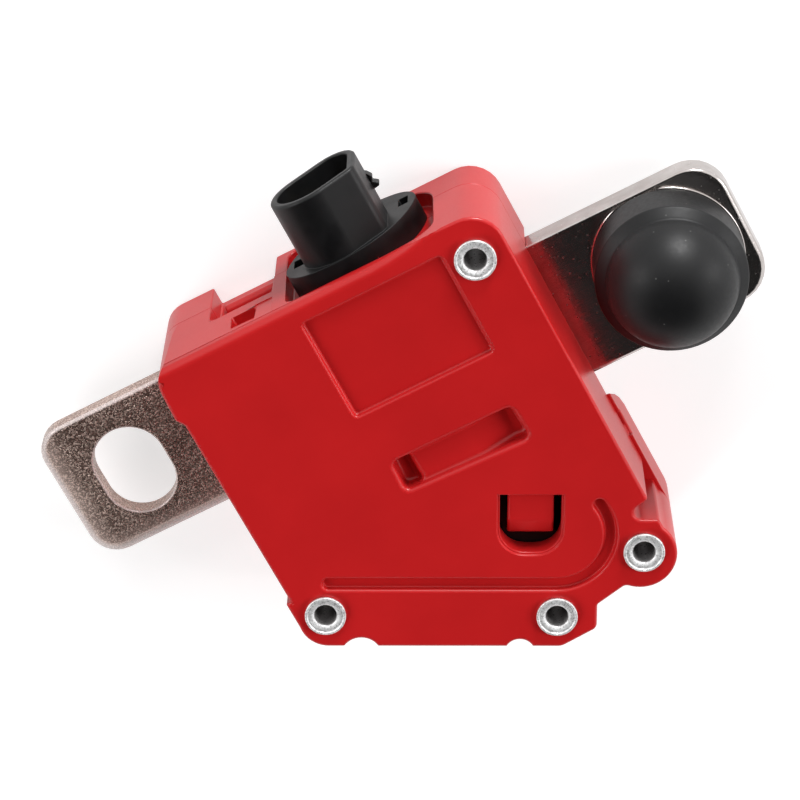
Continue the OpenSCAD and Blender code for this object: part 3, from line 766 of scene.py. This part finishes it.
pitch, crest_r, root_r = 1.25, 3.98, 3.36
thread_from, thread_to = 7.25, 20.0
head_r, head_h, head_z, neck_r = 5.5, 2.0, 3.2, 3.9
turn_steps, grooves, below_cut = 48, 13, 2
tooth = [(root_r, 0.0), (root_r, 0.16), (crest_r, 0.54), (crest_r, 0.7)]
line = [(r, thread_from + (groove - below_cut) * pitch + h) for groove in range(grooves) for r, h in tooth]
thread = bmesh.new()
points = [thread.verts.new((stud_place[0] + r, stud_place[1], h)) for r, h in line]
ridge = [thread.edges.new(pair) for pair in zip(points, points[1:])]
bmesh.ops.scale(thread, vec=(MM, MM, MM), verts=thread.verts)
axis_place = Vector((stud_place[0], stud_place[1], 0)) * MM
bmesh.ops.spin(
    thread, geom=points + ridge, cent=axis_place, axis=(0, 0, 1), dvec=(0, 0, pitch / turn_steps * MM),
    angle=2 * pi, steps=turn_steps, use_merge=False, use_normal_flip=False, use_duplicate=False)
bmesh.ops.remove_doubles(thread, verts=thread.verts, dist=0.01 * MM)
for height, keep_above in ((thread_from, True), (thread_to, False)):
    bmesh.ops.bisect_plane(
        thread, geom=thread.verts[:] + thread.edges[:] + thread.faces[:], dist=on_plane,
        plane_co=(0, 0, height * MM), plane_no=(0, 0, 1), clear_inner=keep_above, clear_outer=not keep_above)
bmesh.ops.holes_fill(thread, edges=[edge for edge in thread.edges if edge.is_boundary], sides=0)
tip = 0.8
for vert in thread.verts:
    out = (vert.co - axis_place).xy.to_3d()
    allowed = (crest_r - max(0, vert.co.z / MM - (thread_to - tip))) * MM
    if out.length > allowed:
        vert.co -= out * (1 - allowed / out.length)
bmesh.ops.recalc_face_normals(thread, faces=thread.faces)
neck_top = thread_from + 0.02
head = [(0, head_z), (head_r - 0.2, head_z), (head_r, head_z + 0.2), (head_r, head_z + head_h)]
neck = [(neck_r, head_z + head_h), (neck_r, neck_top), (0, neck_top)]
join(thread, spun(head + neck, (stud_place[0], stud_place[1], 0), steps=64))
show("terminal_stud", thread, zinc_paint.material, crease=50)
print("thread of", round((thread_to - thread_from) / pitch, 1), "turns")

# %% [markdown]
# ## Igniter socket
# The socket is moulded in a hard black plastic with a satin skin. Its mouth has a well-rounded outer rim,
# the oval flange a rounder one, and the collar stands in a small fillet on the flange. The grain is finer
# than on the covers, and the skin has the faint clouds of a mould that was polished by hand.

# %% Socket
socket_paint = Paint("black_plastic", IOR=1.5, Specular_IOR_Level=0.35)
mould = socket_paint.noise(2.4 * MM, detail=3)
fine = socket_paint.noise(0.2 * MM, detail=2)
socket_paint.set(
    Base_Color=socket_paint.mottle(mould, colour(9, 9, 10), colour(14, 14, 15)),
    Roughness=socket_paint.spread(mould + fine * 0.4, 0.36, 0.5, 0.45, 0.95),
    Normal=socket_paint.bump(fine, 0.002 * MM, over=socket_paint.bump(mould, 0.012 * MM)))

mouth_y, flange_y, hidden_y = 29.1, 19.8, 17
collar_middle = Vector((0.2, 0, 11.6))
ear_slots, slot_near = [Vector((8.2, flange_y, 6.84)), Vector((-6.8, flange_y, 10.9))], 1.8


def socket_radius(place, edge):
    if place.y > mouth_y - close / 2:
        wall = min((face.normal for face in edge.link_faces), key=lambda normal: abs(normal.y))
        outward = wall.dot(place - Vector((collar_middle.x, place.y, collar_middle.z))) > 0
        return 0.38 if outward else 0.2
    if place.y < hidden_y:
        return 0
    if abs(place.y - flange_y) < close / 2:
        if not edge.is_convex:
            return 0.35
        return 0.12 if min((place - slot).length for slot in ear_slots) < slot_near else 0.6
    return 0.14


show("igniter_socket", clean_copy("igniter_socket", socket_radius), socket_paint.material)

# %% [markdown]
# ## Pins, and the striking gear inside
# The two pins in the socket are gold plated, and they glint at the bottom of the mouth. The pieces inside
# the housing are seen only in a cut-away, but each still gets its own finish: turned steel for the sleeve,
# piston and capsule, bare copper for the contact bridge, black plastic and rubber for the rest. The solids
# are the right shape already, so they only change their material.

# %% Inner finishes
def metal(name, dark, light, rough, ring_size):
    """A turned metal: rings along Y, where the tool went round."""
    paint = Paint(name, Metallic=1.0)
    rings = paint.noise(ring_size, detail=3, where=paint.stretched((0.02, 1, 0.02)))
    paint.set(
        Base_Color=paint.mottle(rings, dark, light),
        Roughness=paint.vary(rings, rough - 0.07, rough + 0.09),
        Normal=paint.bump(rings, 0.006 * MM))
    return paint.material


finishes = {
    "capsule_steel": metal("capsule_steel", (0.46, 0.46, 0.47, 1), (0.6, 0.6, 0.6, 1), 0.3, 0.2 * MM),
    "bare_copper": metal("bare_copper", (0.66, 0.31, 0.19, 1), (0.8, 0.42, 0.27, 1), 0.28, 0.25 * MM),
    "pin_plating": metal("pin_plating", (0.72, 0.55, 0.26, 1), (0.86, 0.69, 0.36, 1), 0.2, 0.15 * MM),
    "black_plastic": socket_paint.material,
    "black_rubber": rubber_paint.material}
inner = ["socket_seal", "contact_pin_left", "contact_pin_right", "igniter", "piston_sleeve", "piston",
         "piston_seal", "contact_bridge", "guide_block", "buffer_pad"]
for node in inner:
    nodes[node].data.materials.clear()
    nodes[node].data.materials.append(finishes[slots[node]])
    for face in nodes[node].data.polygons:
        face.use_smooth = False
print(len(inner), "inner pieces have their finish")
